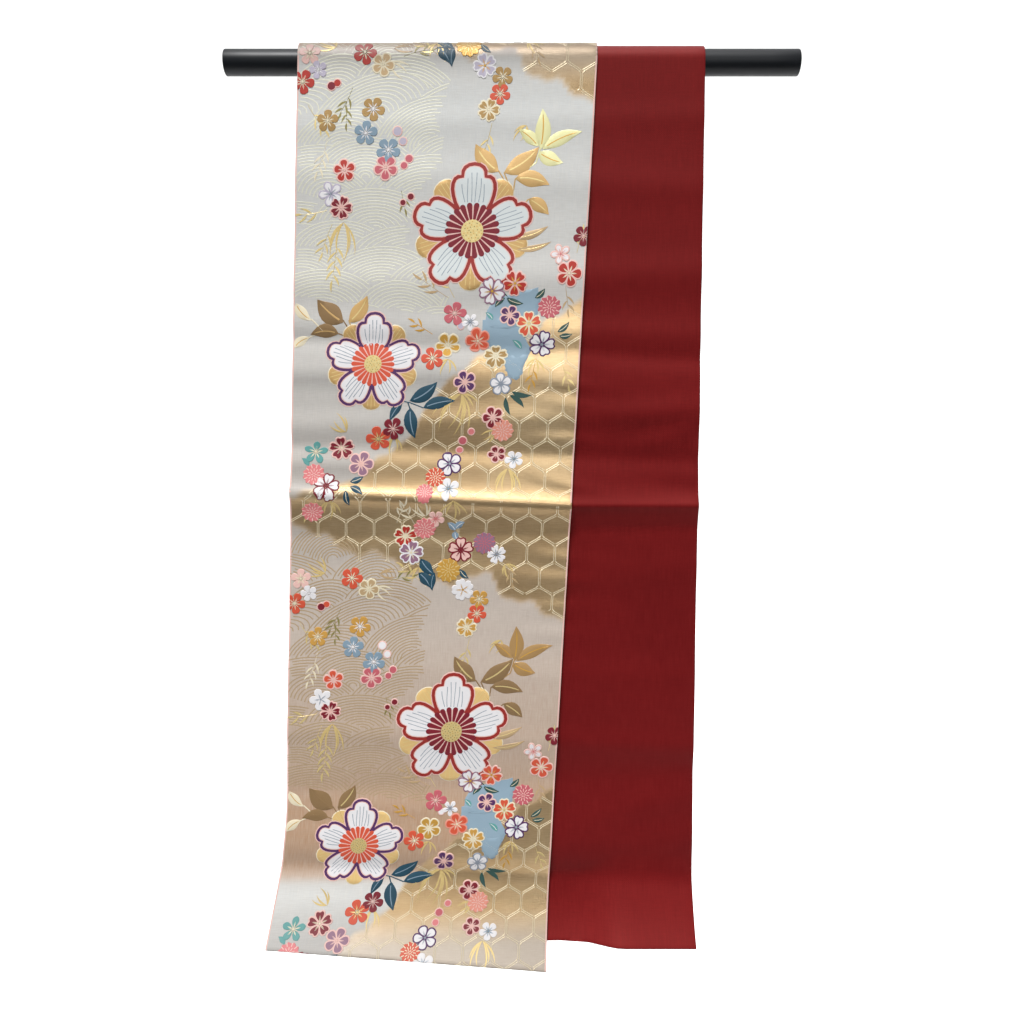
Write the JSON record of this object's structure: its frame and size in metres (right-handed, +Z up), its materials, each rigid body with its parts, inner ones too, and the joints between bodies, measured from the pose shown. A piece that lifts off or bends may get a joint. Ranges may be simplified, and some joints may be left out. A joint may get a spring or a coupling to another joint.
{
  "type": "obi sash hung on a rod",
  "caption": "Long double-sided woven sash, patterned on one side and plain on the other, folded in half and hung over a round rod.",
  "frame": {"origin": "on the rod's axis, at the middle of the rod's length, where a rack holds the rod", "axes": "+X along the rod towards the side where the plain reverse shows, +Y towards the half-fold at the rear, +Z up"},
  "size_m": [0.602, 0.0886, 1.0233],
  "materials": {
    "rod": "glossy black lacquer",
    "face_cloth": "silk brocade with gold thread",
    "reverse_cloth": "plain satin-faced silk"
  },
  "bodies": {
    "root": {"rod": "rod", "outer_front_face": "face_cloth", "outer_front_reverse": "reverse_cloth", "outer_crown_face": "face_cloth", "outer_crown_reverse": "reverse_cloth", "outer_rear_face": "face_cloth", "outer_rear_reverse": "reverse_cloth", "half_fold_face": "face_cloth", "half_fold_reverse": "reverse_cloth", "inner_rear_face": "face_cloth", "inner_rear_reverse": "reverse_cloth", "inner_crown_reverse": "reverse_cloth", "inner_crown_face": "face_cloth", "inner_front_reverse": "reverse_cloth", "inner_front_face": "face_cloth"}
  },
  "joints": []
}
